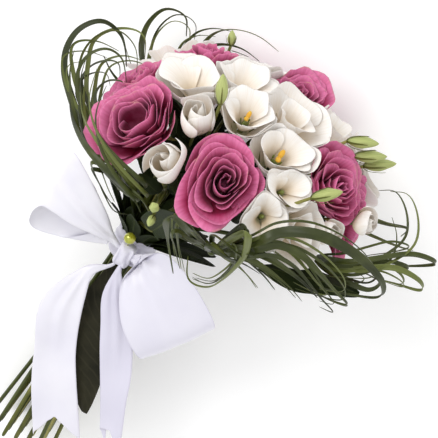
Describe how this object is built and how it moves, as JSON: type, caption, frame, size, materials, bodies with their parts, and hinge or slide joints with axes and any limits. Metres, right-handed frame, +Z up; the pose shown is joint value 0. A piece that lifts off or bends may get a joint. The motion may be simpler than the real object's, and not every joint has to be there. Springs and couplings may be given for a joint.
{
  "type": "bridal bouquet",
  "caption": "Hand-tied bridal bouquet of roses and lisianthus with looped lily grass, collar leaves and a satin bow, lying on its side.",
  "frame": {"origin": "centre of the bounding box on the surface that the bouquet lies on", "axes": "+Y runs from the flowers to the cut stem ends, +Z is up, and the flowers face -Y"},
  "size_m": [0.335, 0.4094, 0.2495],
  "materials": {
    "rose_petal": "satin petal",
    "lisianthus_petal": "satin petal",
    "stem": "smooth green stem",
    "grass": "waxy leaf",
    "leaf": "waxy leaf",
    "satin": "satin ribbon",
    "tape": "waxed floral tape",
    "pearl": "pearlescent"
  },
  "bodies": {
    "root": {"grass_back": "grass", "grass_front": "grass", "grass_left": "grass", "grass_right": "grass", "grass_top": "grass", "leaf_back": "leaf", "leaf_front": "leaf", "leaf_right": "leaf", "leaf_wrap": "leaf", "lisianthus_1": "lisianthus_petal", "lisianthus_10": "lisianthus_petal", "lisianthus_11": "lisianthus_petal", "lisianthus_12": "lisianthus_petal", "lisianthus_13": "lisianthus_petal", "lisianthus_14": "lisianthus_petal", "lisianthus_15": "lisianthus_petal", "lisianthus_16": "lisianthus_petal", "lisianthus_17": "lisianthus_petal", "lisianthus_18": "lisianthus_petal", "lisianthus_2": "lisianthus_petal", "lisianthus_3": "lisianthus_petal", "lisianthus_4": "lisianthus_petal", "lisianthus_5": "lisianthus_petal", "lisianthus_6": "lisianthus_petal", "lisianthus_7": "lisianthus_petal", "lisianthus_8": "lisianthus_petal", "lisianthus_9": "lisianthus_petal", "pearl_pin": "pearl", "ribbon_band": "satin", "ribbon_knot": "satin", "ribbon_loop_left": "satin", "ribbon_loop_right": "satin", "ribbon_tail_left": "satin", "ribbon_tail_right": "satin", "rose_1": "rose_petal", "rose_2": "rose_petal", "rose_3": "rose_petal", "rose_4": "rose_petal", "rose_5": "rose_petal", "rose_6": "rose_petal", "rose_7": "rose_petal", "rose_8": "rose_petal", "rose_9": "rose_petal", "rose_stem_1": "stem", "rose_stem_2": "stem", "rose_stem_3": "stem", "rose_stem_4": "stem", "rose_stem_5": "stem", "rose_stem_6": "stem", "rose_stem_7": "stem", "rose_stem_8": "stem", "rose_stem_9": "stem", "spray_back": "stem", "spray_front_left": "stem", "spray_front_right": "stem", "spray_right": "stem", "spray_top": "stem", "stem_tie": "tape"}
  },
  "joints": []
}
